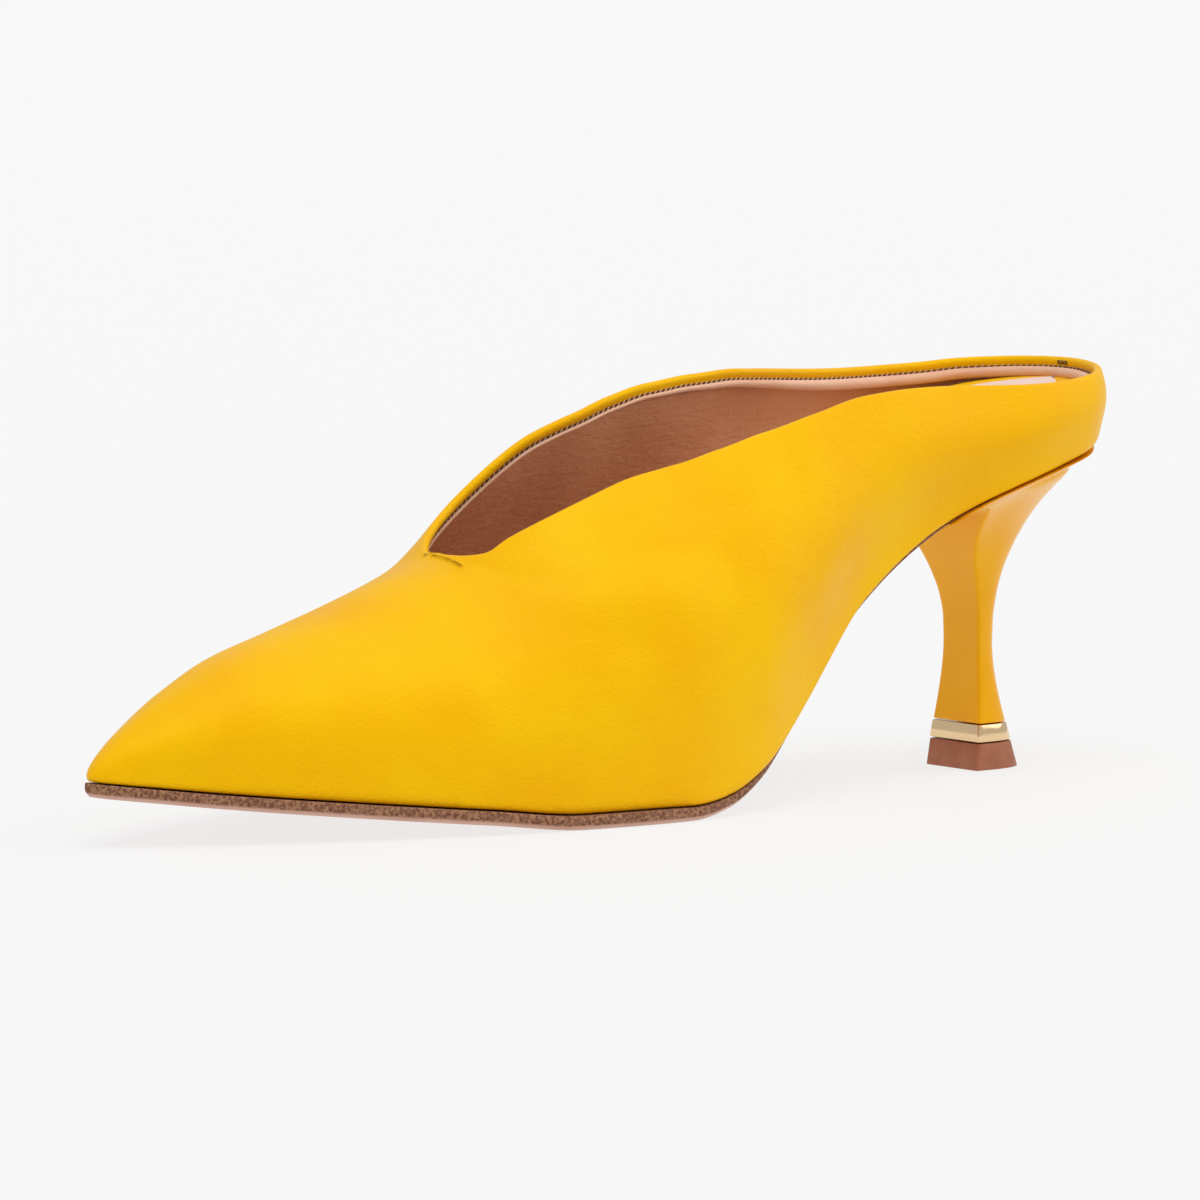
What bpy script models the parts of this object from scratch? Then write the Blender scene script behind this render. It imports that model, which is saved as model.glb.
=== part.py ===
"""A heeled mule for the left foot: a pointed slip-on shoe with a V-shaped throat, a low back rim
and a waisted, covered heel with a metal band and a tip. Metres, +Z up, toe towards -X and the
outer side towards -Y. The shoe stands on the ball of its outsole and on its heel tip."""

import math

import bmesh
import bpy
import numpy as np

# Sizes of the last, which the upper is shaped on
LAST_LENGTH = 0.248  # toe to back, along the floor
BALL_WIDTH = 0.076  # across the feather edge, at the ball
SEAT_WIDTH = 0.051  # across the feather edge, at the heel seat
INSTEP_HEIGHT = 0.080  # crest of the last over its feather edge, behind the throat
SEAT_HEIGHT = 0.070  # floor to the feather edge at the back of the seat
TOE_SPRING = 0.0100  # floor to the underside of the sole at the toe
TOE_FAN = 0.020  # from the toe back to the point that the toe's sections turn about
HEEL_FAN = 0.028  # from the back forward to the point that the heel's sections turn about

# Upper
WALL = 0.0018  # leather, stiffener and lining together
THROAT = 0.0855  # toe to the bottom of the V
MARGIN = 0.008  # lasting margin, turned under the insole
MARGIN_SHARE = 0.45  # most of the way to the middle that the margin may take, at the toe
CLEARANCE = 0.0003  # between pieces that meet

# Outsole and insole
SOLE_THICKNESS = 0.0028
WAIST_THICKNESS = 0.0022
THINS_FROM = 0.44  # share of the length at which the sole begins to thin
THINS_TO = 0.60
SOLE_EDGE = 0.0013  # how far the sole stands out past the upper at the forepart
SOLE_BEVEL = 0.0010  # how far the edge's lower corner is cut back
BEVEL_SHARE = 0.45  # height of the bevel as a share of the sole's thickness
INSOLE_THICKNESS = 0.0020
INSOLE_INSET = 0.0028  # from the outside of the upper's wall, taken level
HEEL_PAD = 0.0046  # padding under the sock at the heel
PAD_FROM = 0.66  # share of the length at which the padding begins
PAD_TO = 0.92  # and at which it is full
BREAST = 0.196  # toe to the end of the outsole, where the heel begins

# Heel, band and tip
LIP = 0.0016  # upright rim of the heel under the seat
NECK_HEIGHT = 0.0265  # floor to the thinnest section
NECK_LENGTH = 0.0058
NECK_WIDTH = 0.0116
NECK_SET_IN = 0.0231  # from the back of the seat
TIP_LENGTH = 0.0148  # on the floor
TIP_WIDTH = 0.0165
TIP_SET_IN = 0.0165
TIP_HEIGHT = 0.0055
BAND_HEIGHT = 0.0036
HEEL_SQUARE = 0.65  # how square the heel is behind its flat breast (1 is a half ellipse)

# How finely the faceted solids are cut
STATIONS = 50
WALL_ROWS = 10
FOOT_ROWS = 4
HEEL_ROWS = 14
BACK_POINTS = 14
LEAN_ROWS = 40  # for finding the wall beside the footbed
STEP = 0.01  # share of the length over which a slope is taken
BEHIND_THROAT = (0.0, 0.004, 0.016, 0.035)  # extra sections, as shares of the topline's length

SIDES = {"outer": -1, "inner": 1}


def table(names, *rows):
    """A table with named columns, a row for each section."""
    return {name: [row[i] for row in rows] for i, name in enumerate(names.split())}


# Half widths of the feather edge, as shares of the ball width up to the waist, and behind it
# of the seat width. The outer ball lies further back than the inner one.
PLAN = table(
    "along outer inner",
    (0.00, 0.000, 0.000),
    (0.03, 0.078, 0.078),
    (0.08, 0.160, 0.165),
    (0.15, 0.258, 0.272),
    (0.23, 0.348, 0.370),
    (0.32, 0.425, 0.448),
    (0.41, 0.475, 0.482),
    (0.48, 0.492, 0.465),
    (0.55, 0.470, 0.395),
    (0.62, 0.405, 0.310),
)
SEAT_PLAN = table(
    "along outer inner",
    (0.70, 0.500, 0.395),
    (0.79, 0.480, 0.440),
    (0.87, 0.498, 0.492),
    (0.94, 0.448, 0.448),
    (0.98, 0.305, 0.305),
    (1.00, 0.000, 0.000),
)

# Underside of the sole: shares of the toe spring in front of the ball and of the rise behind it.
UNDERSIDE = table(
    "along spring rise",
    (0.00, 1.00, 0.000),
    (0.10, 0.70, 0.000),
    (0.20, 0.44, 0.000),
    (0.30, 0.19, 0.000),
    (0.38, 0.00, 0.000),
    (0.48, 0.00, 0.000),
    (0.52, 0.00, 0.024),
    (0.56, 0.00, 0.094),
    (0.60, 0.00, 0.212),
    (0.65, 0.00, 0.395),
    (0.70, 0.00, 0.573),
    (0.76, 0.00, 0.727),
    (0.82, 0.00, 0.830),
    (0.88, 0.00, 0.905),
    (0.94, 0.00, 0.957),
    (1.00, 0.00, 1.000),
)

# How far the sole stands out past the upper, as a share of its full edge: nearly flush at the
# toe, full at the ball and tucked in under the waist.
EDGE = table(
    "along out",
    (0.00, 0.20),
    (0.10, 0.55),
    (0.25, 1.00),
    (0.42, 1.00),
    (0.56, -0.60),
    (1.00, -0.60),
)

# Sections of the last: height of the crest over the feather edge as a share of the instep,
# shift of the crest towards the inner side as a share of the ball width, squareness of the
# section (1 is an ellipse, less is squarer), how far its side swells out as a share of the
# ball width, and how far up it swells most.
SECTIONS = table(
    "along crest shift square full fullest",
    (0.00, 0.060, 0.000, 0.75, 0.006, 0.40),
    (0.03, 0.134, 0.000, 0.78, 0.012, 0.40),
    (0.08, 0.232, 0.000, 0.85, 0.018, 0.40),
    (0.13, 0.322, 0.005, 0.90, 0.022, 0.40),
    (0.19, 0.395, 0.012, 0.96, 0.026, 0.40),
    (0.26, 0.480, 0.025, 1.00, 0.030, 0.38),
    (0.33, 0.575, 0.045, 1.02, 0.034, 0.36),
    (0.345, 0.608, 0.047, 1.03, 0.035, 0.36),
    (0.38, 0.724, 0.050, 1.04, 0.038, 0.36),
    (0.44, 0.890, 0.055, 1.05, 0.044, 0.36),
    (0.50, 0.985, 0.055, 1.05, 0.054, 0.34),
    (0.60, 1.050, 0.050, 1.05, 0.074, 0.28),
    (0.74, 1.060, 0.030, 1.00, 0.062, 0.16),
    (0.86, 1.060, 0.010, 1.00, 0.038, 0.09),
    (1.00, 1.060, 0.000, 1.00, 0.020, 0.075),
)

# The topline, from the throat back to the heel: its height over the feather edge as a share of
# the instep height, at each share of the length from the throat to the back.
TOPLINE = table(
    "behind outer inner",
    (0.000, 0.606, 0.606),
    (0.006, 0.604, 0.618),
    (0.020, 0.620, 0.646),
    (0.050, 0.656, 0.708),
    (0.110, 0.718, 0.800),
    (0.180, 0.778, 0.890),
    (0.260, 0.813, 0.928),
    (0.350, 0.762, 0.872),
    (0.450, 0.626, 0.710),
    (0.560, 0.454, 0.490),
    (0.680, 0.326, 0.334),
    (0.800, 0.226, 0.240),
    (0.900, 0.176, 0.190),
    (1.000, 0.168, 0.168),
)

# Heel above its neck: shares of the way out from the neck to the seat. Its breast stays steep
# and curves forward to the sole only at the top.
FLARE = table(
    "up back breast width",
    (0.00, 0.000, 0.000, 0.000),
    (0.13, 0.010, 0.004, 0.006),
    (0.25, 0.040, 0.028, 0.028),
    (0.39, 0.102, 0.080, 0.080),
    (0.53, 0.205, 0.175, 0.165),
    (0.65, 0.318, 0.300, 0.280),
    (0.77, 0.458, 0.405, 0.450),
    (0.88, 0.628, 0.545, 0.670),
    (0.95, 0.780, 0.690, 0.820),
    (1.00, 1.000, 1.000, 1.000),
)


def slopes(knots, values):
    """Slopes at the knots of a smooth curve that never overshoots its values."""
    steps = [(b - a) / (y - x) for a, b, x, y in zip(values, values[1:], knots, knots[1:])]
    inner = [2 * p * q / (p + q) if p * q > 0 else 0.0 for p, q in zip(steps, steps[1:])]
    return [steps[0]] + inner + [steps[-1]]


def smooth(knots, values, x):
    """The value at x of a smooth curve through the values."""
    x = min(max(x, knots[0]), knots[-1])
    i = max(k for k in range(len(knots) - 1) if knots[k] <= x)
    gap = knots[i + 1] - knots[i]
    u = (x - knots[i]) / gap
    m = slopes(knots, values)
    return (
        (1 + 2 * u) * (1 - u) ** 2 * values[i]
        + u * (1 - u) ** 2 * gap * m[i]
        + u * u * (3 - 2 * u) * values[i + 1]
        + u * u * (u - 1) * gap * m[i + 1]
    )


def read(rows, column, share):
    """A column of a table, read at a share of its first column."""
    knots = rows[next(iter(rows))]
    return smooth(knots, rows[column], share)


def turn(share):
    """Share of the length as an angle, so that a table of widths rounds off at both ends."""
    return math.acos(1 - 2 * min(max(share, 0.0), 1.0))


def half_width(share, side):
    """Half width of the feather edge at a share of the length."""
    knots = [turn(a) for a in PLAN["along"] + SEAT_PLAN["along"]]
    front = [width * BALL_WIDTH for width in PLAN[side]]
    back = [width * SEAT_WIDTH for width in SEAT_PLAN[side]]
    return smooth(knots, front + back, turn(share))


def feather(share, side):
    """A point of the feather edge, where the upper meets the sole: along and sideways."""
    return np.array([share * LAST_LENGTH, SIDES[side] * half_width(share, side)])


def across(share, side):
    """Unit vector from the feather edge inwards, square to the edge."""
    back = feather(max(share - STEP / 5, 0.0), side)
    front = feather(min(share + STEP / 5, 1.0), side)
    if share <= 0.0 or share >= 1.0:
        return np.array([1.0 if share <= 0.0 else -1.0, 0.0])
    along = (front - back) / np.linalg.norm(front - back)
    return -SIDES[side] * np.array([-along[1], along[0]])


def thickness(share):
    """Thickness of the outsole, which thins from the ball to the waist."""
    u = min(max((share - THINS_FROM) / (THINS_TO - THINS_FROM), 0.0), 1.0)
    return SOLE_THICKNESS + (WAIST_THICKNESS - SOLE_THICKNESS) * u * u * (3 - 2 * u)


def underside(share):
    """Height of the outsole's underside over the floor."""
    rise = SEAT_HEIGHT - WAIST_THICKNESS - CLEARANCE
    return read(UNDERSIDE, "spring", share) * TOE_SPRING + read(UNDERSIDE, "rise", share) * rise


def seat(share):
    """Height of the feather edge over the floor."""
    return underside(share) + thickness(share) + CLEARANCE


def crest(share):
    """Height of the last's crest over the floor."""
    return seat(share) + read(SECTIONS, "crest", share) * INSTEP_HEIGHT


def column(share, side):
    """Foot of a section of the last, its direction inwards and how far it is to the spine."""
    foot = feather(share, side)
    along = min(max(foot[0], TOE_FAN), LAST_LENGTH - HEEL_FAN)
    spine = np.array([along, read(SECTIONS, "shift", along / LAST_LENGTH) * BALL_WIDTH])
    reach = np.linalg.norm(spine - foot)
    return foot, (spine - foot) / reach, reach


def last_point(share, side, up):
    """A point of the last: up is the share of the way from the feather edge to the crest."""
    foot, inwards, reach = column(share, side)
    angle = up * math.pi / 2
    square = read(SECTIONS, "square", share)
    full = read(SECTIONS, "full", share) * BALL_WIDTH
    swell = math.sin(math.pi / 2 * min(up / read(SECTIONS, "fullest", share), 2.0)) ** 2
    travel = reach * (1 - max(math.cos(angle), 0.0) ** square) - full * swell
    place = foot + inwards * travel
    base = seat(share)
    height = base + (crest(place[0] / LAST_LENGTH) - base) * math.sin(angle) ** square
    return np.array([place[0], place[1], height])


def topline(share, side):
    """How far up its section the upper reaches: all the way in front of the throat.

    The V starts on the last's crest, wherever the throat is, and then rises by the table."""
    behind = (share * LAST_LENGTH - THROAT) / (LAST_LENGTH - THROAT)
    if behind <= 0:
        return 1.0
    throat = THROAT / LAST_LENGTH
    start = crest(throat) - seat(throat) - read(TOPLINE, side, 0.0) * INSTEP_HEIGHT
    height = read(TOPLINE, side, behind) * INSTEP_HEIGHT + start * (1 - behind) ** 4
    part_way = min(height / (crest(share) - seat(share)), 1.0)
    return math.asin(part_way ** (1 / read(SECTIONS, "square", share))) / (math.pi / 2)


def stations():
    """Shares of the length at which sections are taken, closer at the ends and at the throat."""
    even = [(1 - math.cos(math.pi * j / STATIONS)) / 2 for j in range(STATIONS + 1)]
    throat = THROAT / LAST_LENGTH
    near_throat = [throat + (1 - throat) * behind for behind in BEHIND_THROAT]
    apart = 1 / (4 * STATIONS)
    kept = [share for share in even if min(abs(share - near) for near in near_throat) > apart]
    return sorted(kept + near_throat)


def upper_column(share, side):
    """The upper's section: the margin turned under, then the wall up to the topline."""
    foot, inwards, reach = column(share, side)
    margin = min(MARGIN, MARGIN_SHARE * reach)
    turned = foot + inwards * margin
    top = topline(share, side)
    wall = [last_point(share, side, top * i / WALL_ROWS) for i in range(WALL_ROWS + 1)]
    return [np.array([turned[0], turned[1], seat(turned[0] / LAST_LENGTH)])] + wall


def material(name, colour, roughness, metallic=0.0):
    """A plain surface in the piece's own colour."""
    made = bpy.data.materials.new(name)
    made.use_nodes = True
    surface = made.node_tree.nodes["Principled BSDF"]
    surface.inputs["Base Color"].default_value = (*colour, 1.0)
    surface.inputs["Roughness"].default_value = roughness
    surface.inputs["Metallic"].default_value = metallic
    made.diffuse_color = (*colour, 1.0)
    return made


def piece(name, bm, surface):
    """A named object from finished mesh work, shaded smooth with sharp corners kept."""
    mesh = bpy.data.meshes.new(name)
    bmesh.ops.remove_doubles(bm, verts=bm.verts, dist=1e-6)
    bm.to_mesh(mesh)
    bm.free()
    mesh.shade_smooth()
    mesh.set_sharp_from_angle(angle=math.radians(40))
    mesh.materials.append(surface)
    made = bpy.data.objects.new(name, mesh)
    shoe.objects.link(made)
    made.parent = stand
    return made


def sheet(bm, columns, side):
    """Faces between neighbouring sections of one side, facing outwards."""
    grid = [[bm.verts.new(point) for point in points] for points in columns]
    for before, after in zip(grid, grid[1:]):
        for i in range(len(before) - 1):
            corners = [before[i], after[i], after[i + 1], before[i + 1]]
            bm.faces.new(corners if side == "outer" else corners[::-1])


def plate(name, levels, surface):
    """A closed solid from levels, bottom first; each is a list of outer and of inner points."""
    bm = bmesh.new()
    rings = []
    for outer, inner in levels:
        rings.append(([bm.verts.new(p) for p in outer], [bm.verts.new(p) for p in inner]))
    for j in range(len(rings[0][0]) - 1):
        (low_o, low_i), (top_o, top_i) = rings[0], rings[-1]
        bm.faces.new([low_o[j], low_i[j], low_i[j + 1], low_o[j + 1]])
        bm.faces.new([top_o[j], top_o[j + 1], top_i[j + 1], top_i[j]])
    for (low_o, low_i), (top_o, top_i) in zip(rings, rings[1:]):
        for j in range(len(low_o) - 1):
            bm.faces.new([low_o[j], low_o[j + 1], top_o[j + 1], top_o[j]])
            bm.faces.new([low_i[j + 1], low_i[j], top_i[j], top_i[j + 1]])
        bm.faces.new([low_i[0], low_o[0], top_o[0], top_i[0]])
        bm.faces.new([low_o[-1], low_i[-1], top_i[-1], top_o[-1]])
    bmesh.ops.remove_doubles(bm, verts=bm.verts, dist=1e-6)
    bmesh.ops.recalc_face_normals(bm, faces=bm.faces)
    return piece(name, bm, surface)


def make_upper(surface):
    """The upper: an open sheet over the last, thickened inwards."""
    bm = bmesh.new()
    for side in SIDES:
        sheet(bm, [upper_column(share, side) for share in stations()], side)
    made = piece("upper", bm, surface)
    wall = made.modifiers.new("wall", "SOLIDIFY")
    wall.thickness = WALL
    wall.offset = -1
    wall.use_even_offset = True
    wall.use_quality_normals = True
    return made


def edge_run(end, out, height):
    """Outer and inner points round a sole, out past the feather edge, from the toe to its end."""
    shares = [share for share in stations() if share < end - 1 / (2 * STATIONS)] + [end]
    run = []
    for side in SIDES:
        points = []
        for share in shares:
            spot = feather(share, side) - across(share, side) * out(share)
            points.append(np.array([spot[0], spot[1], height(share)]))
        run.append(points)
    return run


def sole_edge(share):
    """How far the sole stands out past the upper."""
    return read(EDGE, "out", share) * SOLE_EDGE


def make_outsole(surface):
    """The outsole: one plate from the toe to the heel breast, its lower corner bevelled."""
    end = BREAST / LAST_LENGTH
    levels = [edge_run(end, lambda share: sole_edge(share) - SOLE_BEVEL, underside)]
    for part_way in (BEVEL_SHARE, 1.0):
        levels.append(
            edge_run(end, sole_edge, lambda at, up=part_way: underside(at) + up * thickness(at))
        )
    return plate("outsole", levels, surface)


def lift(share, height):
    """Height over the seat, plumb, of something that lies that high square to its slope."""
    before, after = max(share - STEP, 0.0), min(share + STEP, 1.0)
    slope = (seat(after) - seat(before)) / ((after - before) * LAST_LENGTH)
    return seat(share) + height * math.hypot(1.0, slope)


def insole_top(share):
    """Height of the insole's upper face over the seat, square to its slope."""
    u = min(max((share - PAD_FROM) / (PAD_TO - PAD_FROM), 0.0), 1.0)
    return WALL + CLEARANCE + INSOLE_THICKNESS + HEEL_PAD * u * u * (3 - 2 * u)


def insole_point(share, side, height):
    """A point of the insole's edge, clear of the wall beside its upper face."""
    foot, inwards, reach = column(share, side)
    top = lift(share, insole_top(share))
    rows = [last_point(share, side, i / LEAN_ROWS) for i in range(LEAN_ROWS + 1)]
    beside = next(row for row in rows if row[2] >= top or row is rows[-1])
    lean = max(float((beside[:2] - foot) @ inwards), 0.0)
    spot = foot + inwards * min(lean + INSOLE_INSET, reach)
    at = spot[0] / LAST_LENGTH
    return np.array([spot[0], spot[1], lift(at, height(at))])


def make_insole(surface):
    """The insole: a plate inside the wall, on the turned-under margin."""
    levels = []
    for height in (lambda share: WALL + CLEARANCE, insole_top):
        levels.append(
            [[insole_point(share, side, height) for share in stations()] for side in SIDES]
        )
    return plate("insole", levels, surface)


def back_curve(share, side):
    """The seat's own outline from the breast to the back, as shares of its length and width."""
    start = (BREAST + CLEARANCE) / LAST_LENGTH
    at = start + (1 - start) * share
    widest = max(half_width(start + (1 - start) * i / 20, side) for i in range(21))
    return half_width(at, side) / widest, widest


def heel_section(up, height_at):
    """Outer and inner points of a heel section, from the breast round to the back.

    up runs from the neck (0) to the seat (1), and the section takes on the seat's own outline
    on the way."""
    flare = {name: read(FLARE, name, up) for name in ("back", "breast", "width")}
    back = LAST_LENGTH - NECK_SET_IN * (1 - flare["back"])
    neck_breast = LAST_LENGTH - NECK_SET_IN - NECK_LENGTH
    breast = neck_breast + (BREAST + CLEARANCE - neck_breast) * flare["breast"]
    section = []
    for side, sign in SIDES.items():
        points = []
        for j in range(BACK_POINTS + 1):
            angle = math.pi / 2 * j / BACK_POINTS
            way = math.sin(angle) ** HEEL_SQUARE
            round_width = math.cos(angle) ** HEEL_SQUARE
            seat_width, widest = back_curve(way, side)
            width = NECK_WIDTH / 2 + (widest - NECK_WIDTH / 2) * flare["width"]
            shape = round_width + (seat_width - round_width) * up * up
            along = breast + (back - breast) * way
            points.append(np.array([along, sign * width * shape, height_at(along)]))
        section.append(points)
    return section


def foot_section(height):
    """A level section between the neck and the floor, where the heel spreads again."""
    u = (NECK_HEIGHT - height) / NECK_HEIGHT
    spread = u * u * (3 - u) / 2
    set_in = NECK_SET_IN + (TIP_SET_IN - NECK_SET_IN) * spread
    length = NECK_LENGTH + (TIP_LENGTH - NECK_LENGTH) * spread
    width = NECK_WIDTH + (TIP_WIDTH - NECK_WIDTH) * u * u * (3 - 2 * u)
    back = LAST_LENGTH - set_in
    section = []
    for sign in SIDES.values():
        points = []
        for j in range(BACK_POINTS + 1):
            angle = math.pi / 2 * j / BACK_POINTS
            along = back - length * (1 - math.sin(angle) ** HEEL_SQUARE)
            sideways = sign * width / 2 * math.cos(angle) ** HEEL_SQUARE
            points.append(np.array([along, sideways, height]))
        section.append(points)
    return section


def make_heel(surface):
    """The heel: from the band up to the seat, with an upright lip under the seat."""
    band_top = TIP_HEIGHT + BAND_HEIGHT + 2 * CLEARANCE
    levels = []
    for i in range(FOOT_ROWS):
        levels.append(foot_section(band_top + (NECK_HEIGHT - band_top) * i / FOOT_ROWS))
    for i in range(HEEL_ROWS + 1):
        up = i / HEEL_ROWS

        def height_at(along, up=up):
            under = seat(along / LAST_LENGTH) - CLEARANCE - LIP
            return NECK_HEIGHT + (under - NECK_HEIGHT) * up

        levels.append(heel_section(up, height_at))
    levels.append(heel_section(1.0, lambda along: seat(along / LAST_LENGTH) - CLEARANCE))
    return plate("heel", levels, surface)


def make_band(surface):
    """The metal band between the heel and its tip."""
    low = TIP_HEIGHT + CLEARANCE
    return plate("heel_band", [foot_section(low), foot_section(low + BAND_HEIGHT)], surface)


def make_tip(surface):
    """The tip, which the heel stands on."""
    top = foot_section(TIP_HEIGHT)
    return plate("heel_tip", [foot_section(0.0), top], surface)


for old in list(bpy.data.objects):
    bpy.data.objects.remove(old)

shoe = bpy.data.collections.new("heeled_mule")
bpy.context.scene.collection.children.link(shoe)
stand = bpy.data.objects.new("stand", None)
shoe.objects.link(stand)

leather = material("yellow_leather", (0.90, 0.45, 0.01), 0.40)
covered = material("glossy_yellow_cover", (0.84, 0.38, 0.01), 0.25)
bottom = material("sole_leather", (0.55, 0.30, 0.20), 0.60)
sock = material("pale_sock", (0.90, 0.66, 0.58), 0.60)
gold = material("pale_gold", (0.90, 0.76, 0.50), 0.12, 1.0)
rubber = material("brown_rubber", (0.28, 0.11, 0.05), 0.50)

pieces = [
    make_upper(leather),
    make_outsole(bottom),
    make_insole(sock),
    make_heel(covered),
    make_band(gold),
    make_tip(rubber),
]

# The stand puts the middle of the whole shoe's box over the origin.
corners = np.array([vertex.co for made in pieces for vertex in made.data.vertices])
middle = (corners.min(axis=0) + corners.max(axis=0)) / 2
stand.location = (-middle[0], -middle[1], 0.0)
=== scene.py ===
import math

import bmesh
import bpy
import numpy as np
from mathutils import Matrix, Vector


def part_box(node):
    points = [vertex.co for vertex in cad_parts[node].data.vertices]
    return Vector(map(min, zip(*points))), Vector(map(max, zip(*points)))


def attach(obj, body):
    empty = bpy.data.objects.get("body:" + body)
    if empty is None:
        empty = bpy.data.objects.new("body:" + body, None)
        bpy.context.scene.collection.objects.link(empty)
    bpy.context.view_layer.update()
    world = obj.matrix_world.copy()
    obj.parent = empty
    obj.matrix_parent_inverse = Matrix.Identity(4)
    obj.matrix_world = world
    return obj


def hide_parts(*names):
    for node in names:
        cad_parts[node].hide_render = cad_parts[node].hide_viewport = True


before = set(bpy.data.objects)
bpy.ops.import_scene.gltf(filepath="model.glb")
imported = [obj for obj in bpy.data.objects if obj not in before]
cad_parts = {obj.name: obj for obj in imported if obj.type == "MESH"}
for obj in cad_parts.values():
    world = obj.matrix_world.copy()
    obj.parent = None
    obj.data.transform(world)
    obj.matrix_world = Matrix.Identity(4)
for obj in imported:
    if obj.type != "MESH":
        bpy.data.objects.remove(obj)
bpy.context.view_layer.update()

# Upper
# One piece of smooth yellow calf leather, cut with both quarters in one and drawn over a pointed
# last. It is turned in along the top edge and turned under the insole at the bottom, where it is
# cemented. The only join is the seam at the centre of the back.

LAST_LENGTH = 0.248
BALL_WIDTH = 0.076
SEAT_WIDTH = 0.051
INSTEP_HEIGHT = 0.080
SEAT_HEIGHT = 0.070
TOE_SPRING = 0.0100
TOE_FAN = 0.020
HEEL_FAN = 0.028
WALL = 0.0018  # leather, stiffener and lining together
LEATHER = 0.0008  # the leather alone
THROAT = 0.0855
MARGIN = 0.008
MARGIN_SHARE = 0.45
CLEARANCE = 0.0003
SOLE_THICKNESS = 0.0028
WAIST_THICKNESS = 0.0022
THINS_FROM = 0.44
THINS_TO = 0.60
TIP_SET_IN = 0.0165  # from the back of the last to the back of the heel tip

UPPER_STATIONS = 230
THROAT_STATIONS = 26
THROAT_STRETCH = 0.016  # length behind the throat that has its own closer stations
WALL_ROWS = 56
FEATHER_ROUND = 0.0011  # how tightly the leather turns under at the forepart
SEAT_ROUND = 0.0030  # and round the heel seat
SEAT_ROUND_FROM = 0.86  # share of the length at which it begins to turn more softly
SEAT_ROUND_TO = 0.98
FEATHER_ROWS = 5
FOLD = 0.0009  # radius of the fold along the top edge
FOLD_ROWS = 8
FOLD_END = 0.0018  # how far under the top the turned-in edge ends
SWEEP = 0.015  # length over which the top edge's line is smoothed
SWEEP_SHARE = 0.40  # nearer the throat it is this share of the way behind it
LEAST_SWEEP = 0.0002
BLEND = 0.009  # how far along the shoe the change of slope beside the throat is spread
BLEND_FROM = 0.050  # and between which places
BLEND_TO = 0.125
BLEND_FADE = 0.018  # length over which that begins and ends
SPINE_FADE = 0.40  # share of a section, down from the spine, over which it begins
BACK_CALM = 0.985  # share of the length from which the edge runs straight to the back seam
THROAT_ROUND = 0.0006  # radius of the opening at its front end
FADE_ROWS = 5  # rows under the top edge over which the creases run out
PROBE = 0.002  # step, as a share, over which slopes are measured
JUST_UNDER = 0.01  # share of a section under the top edge at which its facing is taken
WELD = 0.000002  # points nearer than this are one

SIDES = {"outer": -1, "inner": 1}

# The last's tables: shares of the sizes above, section by section from the toe to the back.
PLAN = {
    "along": (0, 0.03, 0.08, 0.15, 0.23, 0.32, 0.41, 0.48, 0.55, 0.62),
    "outer": (0, 0.078, 0.160, 0.258, 0.348, 0.425, 0.475, 0.492, 0.470, 0.405),
    "inner": (0, 0.078, 0.165, 0.272, 0.370, 0.448, 0.482, 0.465, 0.395, 0.310),
}
SEAT_PLAN = {
    "along": (0.70, 0.79, 0.87, 0.94, 0.98, 1.00),
    "outer": (0.500, 0.480, 0.498, 0.448, 0.305, 0),
    "inner": (0.395, 0.440, 0.492, 0.448, 0.305, 0),
}
UNDERSIDE = {
    "along": (0, 0.10, 0.20, 0.30, 0.38, 0.48, 0.52, 0.56, 0.60, 0.65, 0.70, 0.76, 0.82, 0.88, 0.94, 1),
    "spring": (1, 0.70, 0.44, 0.19, 0, 0, 0, 0, 0, 0, 0, 0, 0, 0, 0, 0),
    "rise": (0, 0, 0, 0, 0, 0, 0.024, 0.094, 0.212, 0.395, 0.573, 0.727, 0.830, 0.905, 0.957, 1),
}
SECTIONS = {
    "along": (0, 0.03, 0.08, 0.13, 0.19, 0.26, 0.33, 0.345, 0.38, 0.44, 0.50, 0.60, 0.74, 0.86, 1),
    "crest": (0.060, 0.134, 0.232, 0.322, 0.395, 0.480, 0.575, 0.608, 0.724, 0.890, 0.985, 1.050, 1.060,
              1.060, 1.060),
    "shift": (0, 0, 0, 0.005, 0.012, 0.025, 0.045, 0.047, 0.050, 0.055, 0.055, 0.050, 0.030, 0.010, 0),
    "square": (0.75, 0.78, 0.85, 0.90, 0.96, 1.00, 1.02, 1.03, 1.04, 1.05, 1.05, 1.05, 1.00, 1.00, 1.00),
    "full": (0.006, 0.012, 0.018, 0.022, 0.026, 0.030, 0.034, 0.035, 0.038, 0.044, 0.054, 0.074, 0.062,
             0.038, 0.020),
    "fullest": (0.40, 0.40, 0.40, 0.40, 0.40, 0.38, 0.36, 0.36, 0.36, 0.36, 0.34, 0.28, 0.16, 0.09, 0.075),
}
TOPLINE = {
    "behind": (0, 0.006, 0.020, 0.050, 0.110, 0.180, 0.230, 0.270, 0.310, 0.360, 0.430, 0.500, 0.570, 0.680,
               0.800, 0.900, 1),
    "outer": (0.606, 0.604, 0.612, 0.660, 0.724, 0.781, 0.812, 0.825, 0.812, 0.769, 0.664, 0.548, 0.440,
              0.326, 0.224, 0.179, 0.174),
    "inner": (0.606, 0.612, 0.630, 0.674, 0.748, 0.855, 0.910, 0.930, 0.918, 0.864, 0.747, 0.600, 0.464,
              0.332, 0.238, 0.192, 0.174),
}
# How far the leather comes down over the edge of the sole, from the ball to the heel seat.
DIP = {
    "along": (0, 0.44, 0.77, 0.88, 1),
    "deep": (0, 0, 0.00125, 0.0019, 0.0019),
}

SEAM_DEPTH = 0.00028  # how far the leather dips into the seam at the back
SEAM_WIDTH = 0.00055
SEAM_FROM = 0.90  # share of the length at which it begins
SEAM_FADE = 0.05

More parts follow.
